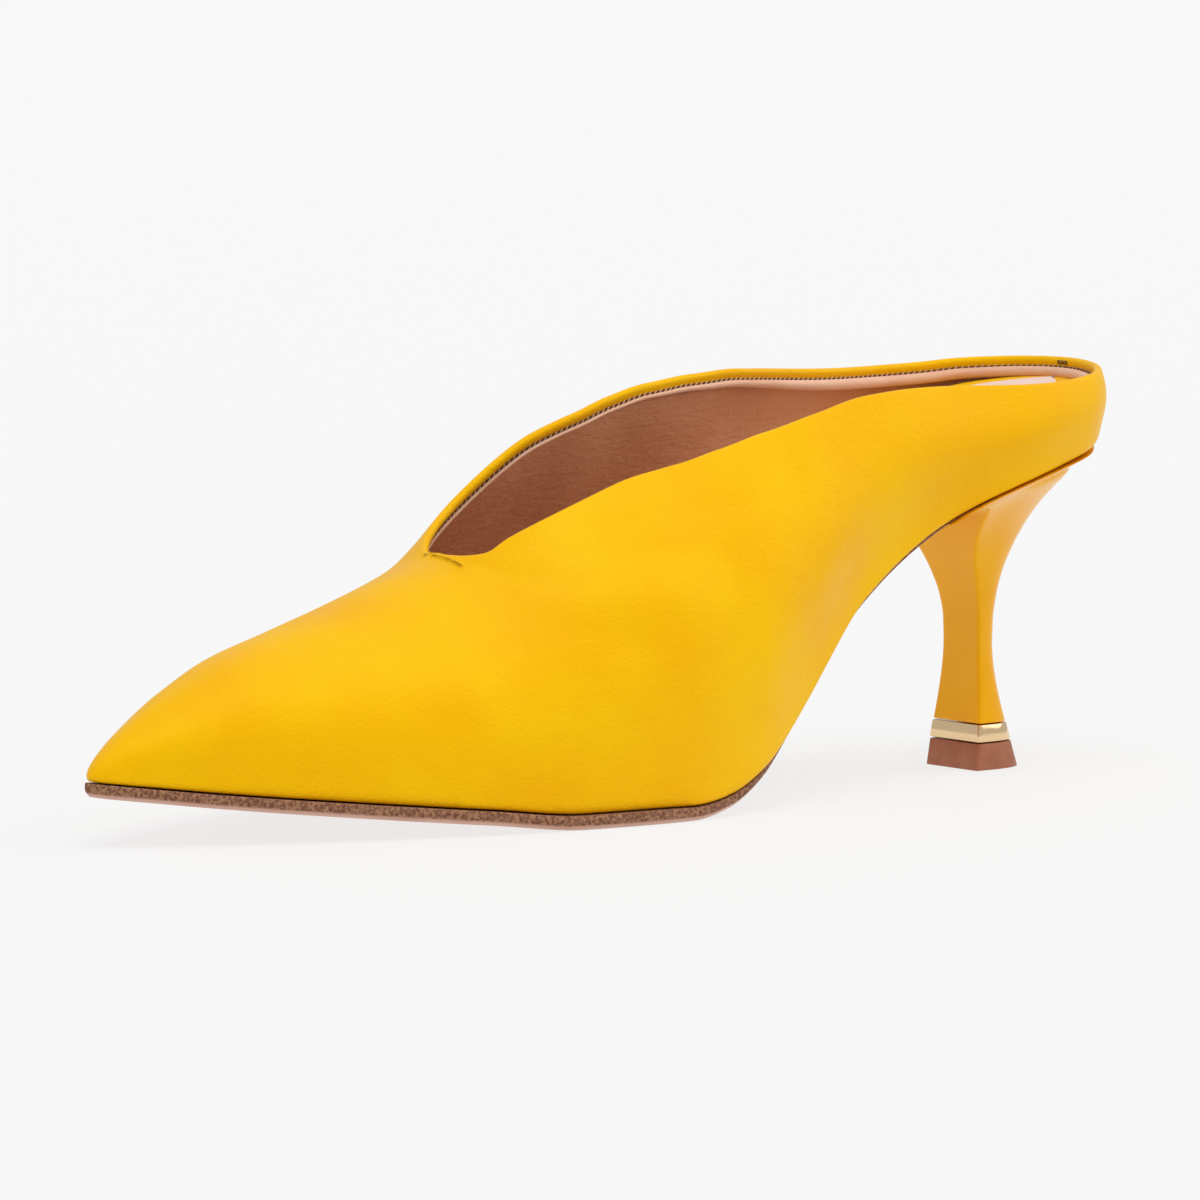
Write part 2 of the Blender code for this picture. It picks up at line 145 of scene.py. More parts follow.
# Soft creases that the leather keeps from lasting and handling, seen from the side: from where to
# where along the shoe and up it, how deep and how wide. A ridge has a negative depth.
CREASES = {
    "outer": (
        (0.086, 0.0515, 0.090, 0.0484, 0.00030, 0.0017),
        (0.089, 0.0486, 0.101, 0.0480, 0.00045, 0.0021),
        (0.094, 0.052, 0.128, 0.0535, 0.00060, 0.0034),
        (0.098, 0.044, 0.126, 0.0435, -0.00045, 0.0034),
        (0.104, 0.057, 0.146, 0.062, 0.00030, 0.0030),
        (0.090, 0.040, 0.112, 0.034, 0.00028, 0.0030),
        (0.118, 0.028, 0.140, 0.040, 0.00022, 0.0036),
        (0.056, 0.026, 0.074, 0.020, 0.00014, 0.0028),
    ),
    "inner": (
        (0.094, 0.052, 0.130, 0.056, 0.00036, 0.0038),
        (0.100, 0.044, 0.126, 0.044, -0.00020, 0.0034),
        (0.092, 0.040, 0.112, 0.034, 0.00018, 0.0030),
        (0.120, 0.028, 0.142, 0.042, 0.00016, 0.0036),
    ),
}
CREASE_ENDS = 0.12  # how blunt a crease ends, from 0 for a point

YELLOW = (0.930, 0.490, 0.001)
YELLOW_DEEP = (0.915, 0.455, 0.001)
YELLOW_LIGHT = (0.945, 0.530, 0.002)
GRAIN_SIZE = 0.00055  # across one pebble of the leather's grain


def curve(knots, values):
    """A smooth curve through the values that never overshoots them, for a number or an array."""
    knots, values = np.array(knots, float), np.array(values, float)
    steps = np.diff(values) / np.diff(knots)
    product = steps[:-1] * steps[1:]
    total = np.where(product > 0, steps[:-1] + steps[1:], 1.0)
    lean = np.concatenate([steps[:1], np.where(product > 0, 2 * product / total, 0.0), steps[-1:]])

    def at(x):
        x = np.clip(x, knots[0], knots[-1])
        i = np.clip(np.searchsorted(knots, x, side="right") - 1, 0, len(knots) - 2)
        gap = knots[i + 1] - knots[i]
        u = (x - knots[i]) / gap
        return (
            (1 + 2 * u) * (1 - u) ** 2 * values[i]
            + u * (1 - u) ** 2 * gap * lean[i]
            + u * u * (3 - 2 * u) * values[i + 1]
            + u * u * (u - 1) * gap * lean[i + 1]
        )

    return at


def curves(rows, first):
    """Every column of a table as a curve over its first column."""
    return {name: curve(rows[first], rows[name]) for name in rows if name != first}


def turn(share):
    """Share of the length as an angle, so that a table of widths rounds off at both ends."""
    return np.arccos(1 - 2 * np.clip(share, 0.0, 1.0))


underside_of = curves(UNDERSIDE, "along")
section_of = curves(SECTIONS, "along")
topline_of = curves(TOPLINE, "behind")
dip = curves(DIP, "along")["deep"]
half_width_of = {
    side: curve(
        turn(np.array(PLAN["along"] + SEAT_PLAN["along"])),
        [w * BALL_WIDTH for w in PLAN[side]] + [w * SEAT_WIDTH for w in SEAT_PLAN[side]],
    )
    for side in SIDES
}


def ease(u):
    """A number from 0 to 1 with a level start and end."""
    u = np.clip(u, 0.0, 1.0)
    return u * u * (3 - 2 * u)


def feather(share, side):
    """The feather edge, where the upper meets the sole: along and sideways."""
    return np.stack([share * LAST_LENGTH, SIDES[side] * half_width_of[side](turn(share))], axis=-1)


def thickness(share):
    """Thickness of the outsole, which thins from the ball to the waist."""
    u = ease((share - THINS_FROM) / (THINS_TO - THINS_FROM))
    return SOLE_THICKNESS + (WAIST_THICKNESS - SOLE_THICKNESS) * u


def underside(share):
    """Height of the outsole's underside over the floor."""
    rise = SEAT_HEIGHT - WAIST_THICKNESS - CLEARANCE
    return underside_of["spring"](share) * TOE_SPRING + underside_of["rise"](share) * rise


def board(share):
    """Height of the last's bottom over the floor."""
    return underside(share) + thickness(share) + CLEARANCE


def seat(share):
    """Height of the leather's lower edge over the floor."""
    return board(share) - dip(share)


def crest(share):
    """Height of the last's crest over the floor."""
    return board(share) + section_of["crest"](share) * INSTEP_HEIGHT


even = np.linspace(0, 1, 1001)
spread = np.exp(-(((even[:, None] - even[None, :]) * LAST_LENGTH / BLEND) ** 2))
soft_crests = spread @ crest(even) / spread.sum(axis=1)


def flank(share, up):
    """Height of the crest that a section rises to: beside the throat its change of slope is spread."""
    along, exact = share * LAST_LENGTH, crest(share)
    near = ease((along - BLEND_FROM) / BLEND_FADE) * ease((BLEND_TO - along) / BLEND_FADE)
    return exact + (np.interp(share, even, soft_crests) - exact) * near * ease((1 - up) / SPINE_FADE)


def lifted(spot, height_of):
    """Places seen from above, raised to the height that their share of the length gives."""
    return np.concatenate([spot, height_of(spot[..., 0] / LAST_LENGTH)[..., None]], axis=-1)


def column(share, side):
    """Foot of a section of the last, its direction inwards and how far it is to the spine."""
    foot = feather(share, side)
    along = np.clip(foot[..., 0], TOE_FAN, LAST_LENGTH - HEEL_FAN)
    spine = np.stack([along, section_of["shift"](along / LAST_LENGTH) * BALL_WIDTH], axis=-1)
    reach = np.linalg.norm(spine - foot, axis=-1)
    return foot, (spine - foot) / reach[..., None], reach


def last_point(share, side, up):
    """Points of the last: up is the share of the way from the feather edge to the crest."""
    foot, inwards, reach = column(share, side)
    angle = up * math.pi / 2
    square = section_of["square"](share)
    full = section_of["full"](share) * BALL_WIDTH
    swell = np.sin(math.pi / 2 * np.minimum(up / section_of["fullest"](share), 2.0)) ** 2
    travel = reach * (1 - np.maximum(np.cos(angle), 0.0) ** square) - full * swell
    place = foot + inwards * travel[..., None]
    base = seat(share)
    height = base + (flank(place[..., 0] / LAST_LENGTH, up) - base) * np.sin(angle) ** square
    return np.concatenate([place, height[..., None]], axis=-1)


def cut_line(share, side):
    """How far up its section the upper reaches by its table: all the way in front of the throat."""
    behind = (share * LAST_LENGTH - THROAT) / (LAST_LENGTH - THROAT)
    throat = np.array([THROAT / LAST_LENGTH])
    start = crest(throat) - board(throat) - topline_of[side](0.0) * INSTEP_HEIGHT
    height = topline_of[side](behind) * INSTEP_HEIGHT + start * (1 - np.clip(behind, 0, 1)) ** 4
    square = section_of["square"](share)
    part_way = np.clip((height + dip(share)) / (crest(share) - seat(share)), 0.0, 1.0)
    up = np.arcsin(part_way ** (1 / square)) / (math.pi / 2)
    past = np.maximum(share * LAST_LENGTH - THROAT, 0.0)
    half = np.minimum(np.sqrt(2 * THROAT_ROUND * past) / column(share, side)[2], 1.0)
    rounded = np.arccos(half ** (1 / square)) / (math.pi / 2)
    return np.where(behind <= 0, 1.0, np.minimum(up, rounded))


even_shares = np.linspace(THROAT / LAST_LENGTH, 1.0, 900)
even_lines = {side: cut_line(even_shares, side) for side in SIDES}


def topline(share, side):
    """How far up its section the upper reaches, as one long smooth sweep behind the throat."""
    exact = cut_line(share, side)
    behind = share - THROAT / LAST_LENGTH
    width = np.clip(SWEEP_SHARE * behind, LEAST_SWEEP, SWEEP / LAST_LENGTH)
    away = even_shares[None, :] - np.ravel(share)[:, None]
    weight = np.exp(-((away / np.ravel(width)[:, None]) ** 2))
    swept = (weight @ even_lines[side] / weight.sum(axis=1)).reshape(np.shape(share))
    part = ease(behind * LAST_LENGTH / SWEEP) * ease((1 - share) * LAST_LENGTH / SWEEP)
    return exact + (swept - exact) * part


def stations(count):
    """Shares of the length for sections, closer at both ends and behind the throat."""
    evenly = (1 - np.cos(np.linspace(0, math.pi, count + 1))) / 2
    steps = (np.arange(THROAT_STATIONS + 1) / THROAT_STATIONS) ** 2
    near = (THROAT + THROAT_STRETCH * steps) / LAST_LENGTH
    lone = evenly[np.min(np.abs(evenly[:, None] - near[None, :]), axis=1) > 1 / (4 * count)]
    return np.sort(np.concatenate([lone, near]))


def unit(values):
    return values / np.maximum(np.linalg.norm(values, axis=-1, keepdims=True), 1e-12)


def facing(share, side, up):
    """Unit vectors square to the last, pointing out of it."""
    before, after = np.clip(share - PROBE, 0.0, 1.0), np.clip(share + PROBE, 0.0, 1.0)
    low, high = np.clip(up - PROBE, 0.0, 1.0), np.clip(up + PROBE, 0.0, 1.0)
    along = last_point(after, side, up) - last_point(before, side, up)
    upward = last_point(share, side, high) - last_point(share, side, low)
    return unit(np.cross(along, upward) * -SIDES[side])


def softened(values):
    """The values round a loop, each softened with its neighbours three times."""
    for _ in range(3):
        values = (np.roll(values, 1, axis=0) + 2 * values + np.roll(values, -1, axis=0)) / 4
    return values


def looped(values):
    """Both sides' values as one loop, from the back along the inner side and back outside."""
    return np.concatenate([values["inner"][::-1], values["outer"][1:-1]])


def top_edge():
    """The directions out of the leather and up out of it, round the opening's edge."""
    share = shares[behind_throat:]
    tops = {side: topline(share, side) for side in SIDES}
    points = looped({side: last_point(share, side, tops[side]) for side in SIDES})
    out = softened(looped({side: facing(share, side, tops[side] - JUST_UNDER) for side in SIDES}))
    along = unit(softened(np.roll(points, -1, axis=0) - np.roll(points, 1, axis=0)))
    out = unit(out - along * np.sum(out * along, axis=1, keepdims=True))
    return out, np.cross(out, along)


def parallel(drop):
    """Where each section ends, along and up, if the top edge is lowered square to itself."""
    count = len(shares) - behind_throat
    around = np.append(edge_up, edge_up[:1], axis=0)
    ends = {}
    for side, picked in (("inner", around[:count][::-1]), ("outer", around[count - 1 :])):
        share, top = shares[behind_throat:], topline(shares[behind_throat:], side)
        by_share = last_point(share + PROBE, side, top) - last_point(share - PROBE, side, top)
        by_share /= 2 * PROBE
        by_up = (last_point(share, side, top) - last_point(share, side, top - PROBE)) / PROBE
        a, b, c = (np.sum(u, axis=1) for u in (by_share**2, by_share * by_up, by_up**2))
        d, e = (np.sum(u * -drop * picked, axis=1) for u in (by_share, by_up))
        room = np.maximum(a * c - b * b, 1e-12)
        move, sink = (c * d - b * e) / room, (a * e - b * d) / room
        move[0], sink[0] = -drop * abs(by_share[0] @ picked[0]) / a[0], 0.0
        last = int(np.argmax(share > BACK_CALM)) - 1
        part = (share[last:] - share[last]) / (1 - share[last])
        move[last:] = move[last] * (1 - part)
        sink[last:] = sink[last] * (1 - part) - drop / math.sqrt(c[-1]) * part
        front = shares[:behind_throat]
        near = ease((front * LAST_LENGTH - THROAT + 10 * drop) / (10 * drop))
        move = np.concatenate([near * move[0], move])
        ends[side] = (shares + move, np.concatenate([0 * front + 1, top + sink]))
    return ends


def wall(side, drop, inset):
    """A grid over the last, section by section, up to drop below the top edge and set in."""
    ends, tops = parallel(drop)[side]
    ways = np.linspace(0, 1, WALL_ROWS + 1)[None, :]
    share = shares[:, None] + (ends - shares)[:, None] * ways**3
    up = np.minimum(tops[:, None] * ways, 1.0)
    share, up = np.broadcast_arrays(share, up)
    points = last_point(share, side, up)
    return points - facing(share, side, up) * inset if inset else points


def creased(points, side, out):
    """The grid with its soft creases pressed in; the top edge keeps its line."""
    depth = np.zeros(points.shape[:2])
    for s0, z0, s1, z1, deep, wide in CREASES[side]:
        along = np.array([s1 - s0, z1 - z0])
        rel = points[..., (0, 2)] - np.array([s0, z0])
        t = np.clip(rel @ along / (along @ along), 0.0, 1.0)
        away = np.linalg.norm(rel - t[..., None] * along, axis=-1)
        swell = np.sin(math.pi * (CREASE_ENDS + (1 - 2 * CREASE_ENDS) * t))
        depth += deep * np.exp(-((away / wide) ** 2)) * swell
    below = np.linspace(1, 0, points.shape[1]) * WALL_ROWS / FADE_ROWS
    depth = depth * ease(below)[None, :]
    at_back = ease((points[..., 0] / LAST_LENGTH - SEAM_FROM) / SEAM_FADE)
    depth += SEAM_DEPTH * at_back * np.exp(-((points[..., 1] / SEAM_WIDTH) ** 2))
    return points - out * depth[..., None]


def rim(drop, inset):
    """The top edge's loop, lowered by drop and set in."""
    lines = {}
    for side, (share, up) in parallel(drop).items():
        lines[side] = last_point(share[behind_throat:], side, np.minimum(up[behind_throat:], 1.0))
    return looped(lines) - edge_out * inset


def new_piece(name, grids, closed=(), flip=(), corners=None):
    """A mesh from grids of points, welded where they share an edge and sharp at its corners."""
    verts, faces = [], []
    for k, grid in enumerate(grids):
        n, m = grid.shape[:2]
        base = len(verts)
        verts.extend((grid.reshape(-1, 3) + np.array(shift)).tolist())
        for i in range(n if k in closed else n - 1):
            j = (i + 1) % n
            for r in range(m - 1):
                a, b = base + i * m + r, base + j * m + r
                faces.append([a + 1, b + 1, b, a] if k in flip else [a, b, b + 1, a + 1])
    mesh = bpy.data.meshes.new(name)
    mesh.from_pydata(verts, [], faces)
    bm = bmesh.new()
    bm.from_mesh(mesh)
    bmesh.ops.remove_doubles(bm, verts=bm.verts, dist=WELD)
    bm.to_mesh(mesh)
    bm.free()
    mesh.shade_smooth()
    if corners:
        mesh.set_sharp_from_angle(angle=math.radians(corners))
    made = bpy.data.objects.new(name, mesh)
    bpy.context.scene.collection.objects.link(made)
    return made


def thicken(made, depth):
    """Gives an open sheet its real thickness."""
    sheet = made.modifiers.new("thickness", "SOLIDIFY")
    sheet.thickness = depth
    sheet.offset = -1
    sheet.use_quality_normals = True


class Finish:
    """A procedural material: a Principled surface and the nodes that vary it."""

    def __init__(self, name, colour, roughness, **more):
        self.material = bpy.data.materials.new(name)
        self.material.use_nodes = True
        self.tree = self.material.node_tree
        self.surface = self.tree.nodes["Principled BSDF"]
        settings = {"Base Color": (*colour, 1.0), "Roughness": roughness, **more}
        for socket, value in settings.items():
            self.surface.inputs[socket.replace("_", " ")].default_value = value
        self.place = self.tree.nodes.new("ShaderNodeTexCoord").outputs["Object"]
        self.height = None

    def cover(self, piece):
        piece.data.materials.append(self.material)

    def node(self, kind, **sockets):
        made = self.tree.nodes.new("ShaderNode" + kind)
        for name, value in sockets.items():
            self.feed(made.inputs[name.replace("_", " ")], value)
        return made

    def feed(self, socket, value):
        if isinstance(value, bpy.types.NodeSocket):
            self.tree.links.new(value, socket)
        else:
            socket.default_value = value

    def stretched(self, stretch, turned):
        """The object's own coordinates, turned and squeezed."""
        return self.node("Mapping", Vector=self.place, Rotation=turned, Scale=stretch).outputs["Vector"]

    def noise(self, size, detail=2.0, rough=0.5, place=None, **more):
        """Soft noise whose lumps are about that size, in metres."""
        place = place or self.place
        made = self.node("TexNoise", Vector=place, Scale=1 / size, Detail=detail, Roughness=rough, **more)
        return made.outputs["Fac"]

    def cells(self, size, smooth):
        """Distance inside soft cells of about that size."""
        made = self.node("TexVoronoi", Vector=self.place, Scale=1 / size)
        made.feature = "SMOOTH_F1"
        made.inputs["Smoothness"].default_value = smooth
        return made.outputs["Distance"]

    def spread(self, value, low, high, to_low=0.0, to_high=1.0):
        """The value mapped from one range to another, and kept inside it."""
        span = {"From_Min": low, "From_Max": high, "To_Min": to_low, "To_Max": to_high}
        return self.node("MapRange", Value=value, **span).outputs["Result"]

    def sums(self, first, second, how="ADD"):
        made = self.tree.nodes.new("ShaderNodeMath")
        made.operation = how
        self.feed(made.inputs[0], first)
        self.feed(made.inputs[1], second)
        return made.outputs["Value"]

    def blend(self, value, first, second):
        """A colour between two others."""
        made = self.tree.nodes.new("ShaderNodeMix")
        made.data_type = "RGBA"
        self.feed(made.inputs["Factor"], value)
        for socket, colour in zip((made.inputs[6], made.inputs[7]), (first, second)):
            self.feed(socket, colour if isinstance(colour, bpy.types.NodeSocket) else (*colour, 1.0))
        return made.outputs[2]

    def colour(self, value):
        self.feed(self.surface.inputs["Base Color"], value)

    def drift(self, size, first, second, low=0.3, high=0.7, detail=3.0):
        """Lets the colour drift softly between two others."""
        self.colour(self.blend(self.spread(self.noise(size, detail), low, high), first, second))

    def rough(self, value):
        self.feed(self.surface.inputs["Roughness"], value)

    def relief(self, value, depth, strength):
        """Adds a bump of that depth, in metres, to the surface."""
        made = self.node("Bump", Height=value, Distance=depth, Strength=strength)
        if self.height:
            self.tree.links.new(self.height, made.inputs["Normal"])
        self.height = made.outputs["Normal"]
        self.feed(self.surface.inputs["Normal"], self.height)


tip_low, tip_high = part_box("heel_tip")
shift = Vector((tip_high.x - (LAST_LENGTH - TIP_SET_IN), (tip_low.y + tip_high.y) / 2, 0))

shares = stations(UPPER_STATIONS)
behind_throat = int(np.argmin(np.abs(shares * LAST_LENGTH - THROAT)))
edge_out, edge_up = top_edge()


def turned_under(side, wall_grid):
    """Rows from the inner end of the lasting margin out to the wall, round the feather edge."""
    foot, inwards, reach = column(shares, side)
    margin = np.minimum(MARGIN, MARGIN_SHARE * reach)
    round_size = FEATHER_ROUND + (SEAT_ROUND - FEATHER_ROUND) * ease(
        (shares - SEAT_ROUND_FROM) / (SEAT_ROUND_TO - SEAT_ROUND_FROM)
    )
    rows = [lifted(foot + inwards * (margin * way)[:, None], seat) for way in (1.0, 0.6)]
    tight = np.minimum(round_size, margin / 2)
    start = lifted(foot + inwards * tight[:, None], seat)
    climbed = np.linalg.norm(wall_grid - wall_grid[:, :1], axis=-1)
    upper_row = np.argmax(climbed >= tight[:, None], axis=1)
    every = np.arange(len(shares))
    end = wall_grid[every, upper_row]
    for t in np.linspace(0, 1, FEATHER_ROWS + 1)[:-1]:
        rows.append((1 - t) ** 2 * start + 2 * t * (1 - t) * wall_grid[:, 0] + t * t * end)
    for t in np.linspace(0, 1, WALL_ROWS + 1):
        at = upper_row + (WALL_ROWS - upper_row) * t
        low = np.minimum(at.astype(int), WALL_ROWS - 1)
        part = (at - low)[:, None]
        rows.append(wall_grid[every, low] * (1 - part) + wall_grid[every, low + 1] * part)
    return np.stack(rows, axis=1)


sheets = []
for side in SIDES:
    grid = wall(side, FOLD, 0.0)
    ends, tops = parallel(FOLD)[side]
    ways = np.linspace(0, 1, WALL_ROWS + 1)[None, :]
    out = facing(shares[:, None] + 0 * ways, side, np.minimum(tops[:, None] * ways, 1.0))
    sheets.append(turned_under(side, creased(grid, side, out)))

fold = [rim(FOLD, 0.0)]
middle = fold[0] - edge_out * FOLD
for i in range(1, FOLD_ROWS + 1):
    angle = math.pi * i / FOLD_ROWS
    fold.append(middle + FOLD * (math.cos(angle) * edge_out + math.sin(angle) * edge_up))
for i in range(1, 4):
    fold.append(rim(FOLD + (FOLD_END - FOLD) * i / 3, 2 * FOLD))
upper = new_piece("upper_leather", sheets + [np.stack(fold, axis=1)], closed=(2,), flip=(1,))

calf = Finish("yellow_calf", YELLOW, 0.42, IOR=1.30, Specular_Tint=(1.0, 0.88, 0.15, 1.0))
calf.drift(0.030, YELLOW_DEEP, YELLOW_LIGHT, 0.35, 0.65)
pebble = calf.cells(GRAIN_SIZE, 0.5)
fine = calf.noise(GRAIN_SIZE / 2, detail=3.0, rough=0.6)
worn = calf.noise(0.012)
calf.rough(calf.spread(worn, 0.3, 0.7, 0.36, 0.50))
calf.relief(calf.sums(pebble, calf.sums(fine, 0.4, "MULTIPLY")), 0.00009, 0.8)
strained = calf.stretched((0.45, 0.8, 1.0), (0.0, 0.3, 0.0))
calf.relief(calf.noise(0.0016, detail=3.0, place=strained, Distortion=0.8), 0.00028, 0.45)
calf.cover(upper)
thicken(upper, LEATHER)
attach(upper, "root")
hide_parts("upper")


# Lining
# A thin rose-brown lining leather behind the whole upper. Its top edge is folded back on itself
# and stitched just under the turned-in edge. From the waist back that fold holds a soft cord and
# shows as a roll. The roll is coloured a paler rose than the lining: painted light, the same leather
# lit where it faces up.

LINING = 0.0003  # its thickness
LINING_DROP = 0.0019  # from the top of the upper to the top of the lining
LINING_WALL = 0.0030  # from the top of the upper to where the folded edge begins
LINING_ROLL = 0.00035  # radius of the lining's folded edge at the throat
HEEL_ROLL = 0.00115  # and at the heel, where it is padded
ROLL_LIFT = 0.0004  # how far the cord pushes it up against the turned-in edge
LINING_PAD = 0.0006  # how far the padding swells it there
PAD_STARTS = 0.55  # share of the length at which the padding begins
PAD_FULL = 0.84
LINING_FROM = 0.10  # share of the length at which the lining begins, deep in the toe
LINING_STEP = 0.00025  # how far the lining stands in from the turned-in edge
LINING_ROSE = (0.560, 0.240, 0.110)
LINING_TAN = (0.700, 0.340, 0.180)
# The roll's colours are the lining's rose made paler: painted light, since the roll is the same lining
# leather lit where it faces up.
ROLL_LIT_ROSE = (0.740, 0.400, 0.250)
ROLL_LIT_PALE = (0.860, 0.560, 0.400)


def padded(share):
    """How full the padding is along the shoe."""
    return ease((share - PAD_STARTS) / (PAD_FULL - PAD_STARTS))


first = int(np.argmax(shares >= LINING_FROM))
lining_sheets = {}
for side in SIDES:
    grid = wall(side, LINING_WALL, WALL)
    out = wall(side, LINING_WALL, 0.0) - grid
    rows = np.linspace(0, 1, WALL_ROWS + 1)
    swell = LINING_STEP + LINING_PAD * padded(shares)[:, None] * np.sin(math.pi * rows)[None, :]
    lining_sheets[side] = grid - unit(out) * swell[..., None]
joined = sum(lining_sheets[side][: behind_throat + 1, -1] for side in SIDES) / 2
for side in SIDES:
    lining_sheets[side][: behind_throat + 1, -1] = joined
    lining_sheets[side] = lining_sheets[side][first:, 1:]
lining = new_piece("lining", list(lining_sheets.values()), flip=(0,))

fullness = padded(looped({side: shares[behind_throat:] for side in SIDES}))[:, None]
radius = LINING_ROLL + (HEEL_ROLL - LINING_ROLL) * fullness
core = rim(LINING_DROP, WALL + LINING_STEP) - radius * edge_out - (radius - ROLL_LIFT * fullness) * edge_up
roll = [looped({side: lining_sheets[side][behind_throat - first :, -1] for side in SIDES})]
for turned in np.radians(np.linspace(-110, 175, 15)):
    roll.append(core + radius * (math.sin(turned) * edge_up - math.cos(turned) * edge_out))
lining_roll = new_piece("lining_roll", [np.stack(roll, axis=1)], closed=(0,), flip=(0,))


def soft_leather(name, deep, pale, wrinkled):
    """A dull thin leather with diagonal wrinkles and a fine grain."""
    made = Finish(name, deep, 0.50, Specular_Tint=(1.0, 0.72, 0.55, 1.0))
    made.drift(0.020, deep, pale)
    slant = made.stretched((0.40, 1.0, 1.0), (0.0, math.radians(25), 0.0))
    made.relief(made.noise(0.0012, detail=3.0, place=slant, Distortion=0.5), wrinkled, 0.8)
    made.relief(made.cells(0.0006, 0.6), 0.00007, 0.6)
    return made


for piece, leather in (
    (lining, soft_leather("rose_lining", LINING_ROSE, LINING_TAN, 0.0005)),
    # The roll's paler colours are painted light.
    (lining_roll, soft_leather("rose_lining_roll_painted_light", ROLL_LIT_ROSE, ROLL_LIT_PALE, 0.0002)),
):
    leather.cover(piece)
    thicken(piece, LINING)
    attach(piece, "root")


# Top edge stitching
# One row of fine thread just under the turned-in edge, all round the opening. Each stitch slants
# over the gap between the yellow edge and the lining. That gap is dark from shade, and a dark cord
# laid in it paints that shadow.

STITCH_PITCH = 0.0014
STITCH_LENGTH = 0.00085
STITCH_TOP = 0.0014  # from the top of the upper to a stitch's upper end
STITCH_BOTTOM = 0.0021  # and to its lower end
STITCH_BOW = 0.00015  # how far a stitch arches off the leather
THREAD = 0.00012  # radius
THREAD_SIDES = 7
# The dark cord in the gap between the yellow edge and the lining is painted shadow: that gap is dark only
# from shade.
GAP_SHADOW_RADIUS = 0.00022  # radius of the dark cord that fills the gap
GAP_SIDES = 8
THREAD_CREAM = (0.740, 0.520, 0.340)
GAP_SHADOW_BROWN = (0.180, 0.070, 0.028)


def thread(path, radius):
    """Rings along a line of points, closed to a point at both ends."""
    along = unit(np.gradient(path, axis=0))
    aside = unit(np.cross(along, (0.31, 0.17, 0.93)))
    over = np.cross(aside, along)
    size = radius * np.sin(np.linspace(0, math.pi, len(path))) ** 0.35
    size[[0, -1]] = 0.0
    turns = np.linspace(0, 2 * math.pi, THREAD_SIDES + 1)
    ring = np.cos(turns)[None, :, None] * aside[:, None] + np.sin(turns)[None, :, None] * over[:, None]
    return path[:, None] + ring * size[:, None, None]


def spaced(loop, pitch):
    """Places at an even pitch round a loop: the index of the point before each and the share of the way on.
    """
    closed = np.concatenate([loop, loop[:1]])
    travelled = np.concatenate([[0], np.cumsum(np.linalg.norm(np.diff(closed, axis=0), axis=1))])
    at = np.arange(int(travelled[-1] / pitch)) * pitch
    index = np.clip(np.searchsorted(travelled, at, side="right") - 1, 0, len(loop) - 1)
    part = ((at - travelled[index]) / (travelled[index + 1] - travelled[index]))[:, None]
    return index, part


stitches = []
high_line, low_line = rim(STITCH_TOP, WALL + 0.0001), rim(STITCH_BOTTOM, WALL + 0.0003)
index, part = spaced(high_line, STITCH_PITCH)
for i, t in zip(index, part):
    j, k = (i + 1) % len(high_line), (i + 2) % len(high_line)
    top, bottom = (line[i] * (1 - t) + line[j] * t for line in (high_line, low_line))
    ahead = unit(high_line[k] - high_line[i]) * STITCH_LENGTH / 2
    ways = np.linspace(0, 1, 6)[:, None]
    path = (top - ahead) * (1 - ways) + (bottom + ahead) * ways
    stitches.append(thread(path - edge_out[i] * STITCH_BOW * np.sin(math.pi * ways), THREAD))
top_stitches = new_piece("top_edge_stitches", stitches)
cream = Finish("cream_thread", THREAD_CREAM, 0.70)
cream.relief(cream.noise(0.0003), 0.00005, 0.5)
cream.cover(top_stitches)
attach(top_stitches, "root")

# Painted shadow: a dark cord laid along the gap under the turned-in edge.
gap_line = rim((FOLD_END + LINING_DROP) / 2, WALL - 0.0001)
turns = np.linspace(0, 2 * math.pi, GAP_SIDES + 1)
gap_rings = gap_line[:, None] + GAP_SHADOW_RADIUS * (
    np.cos(turns)[None, :, None] * edge_out[:, None] + np.sin(turns)[None, :, None] * edge_up[:, None]
)
gap_shadow_cord = new_piece("top_edge_gap_shadow", [gap_rings], closed=(0,))
gap_shadow_finish = Finish("painted_gap_shadow", GAP_SHADOW_BROWN, 0.85)
gap_shadow_finish.cover(gap_shadow_cord)
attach(gap_shadow_cord, "root")


# Back seam
# The upper's only seam closes the centre of the back. It is sewn with a heavy brown thread in
# slanting stitches, and a small crossed tack holds it at the top edge, inside.

BACK_STITCHES = 7
BACK_FROM = 0.0032  # over the seat
BACK_TO = 0.0118
BACK_THREAD = 0.00022
BACK_REACH = 0.0008  # from the seam to either end of a stitch
BACK_SLANT = 0.0004
BACK_SUNK = 0.0001  # how deep its ends lie in the leather
BACK_BOW = 0.00022
TACK_PITCH = 0.0011
THREAD_BROWN = (0.110, 0.040, 0.012)


def back_point(height, sideways, proud):
    """A point beside the centre of the back, that high over the seat."""
    ups = np.linspace(0, 1, 400)
    line = last_point(np.ones(400), "outer", ups)
    along = np.interp(height, line[:, 2] - line[0, 2], line[:, 0])
    return np.array([along + proud - sideways**2 / (2 * HEEL_FAN), sideways, line[0, 2] + height])


